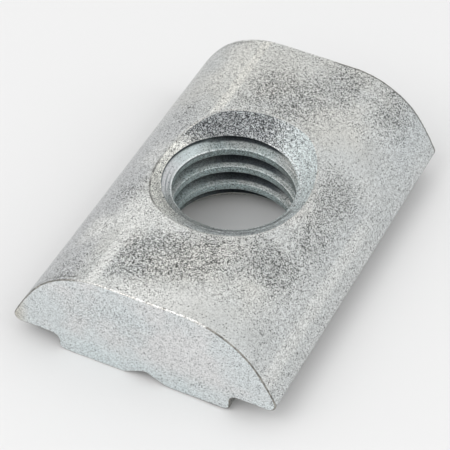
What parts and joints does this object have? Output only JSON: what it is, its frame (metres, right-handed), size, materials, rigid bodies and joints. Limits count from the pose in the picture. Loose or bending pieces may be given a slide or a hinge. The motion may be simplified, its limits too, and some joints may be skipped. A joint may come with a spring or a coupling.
{
  "type": "t slot nut",
  "caption": "Roll-in nut for a T slot: domed crown, lips that bear inside the slot, guide pad and a countersunk tapped hole.",
  "frame": {"origin": "middle of the nut, on the plane that the guide pad stands on", "axes": "+Z out of the crown along the hole, +Y along the nut's length and the slot it slides in, +X across the slot"},
  "size_m": [0.0114, 0.016, 0.0045],
  "materials": {
    "zinc_plated_steel": "matte bright zinc plate over drawn steel, finely pitted, with sheared ends"
  },
  "bodies": {
    "root": {"t_slot_nut": "zinc_plated_steel"}
  },
  "joints": []
}
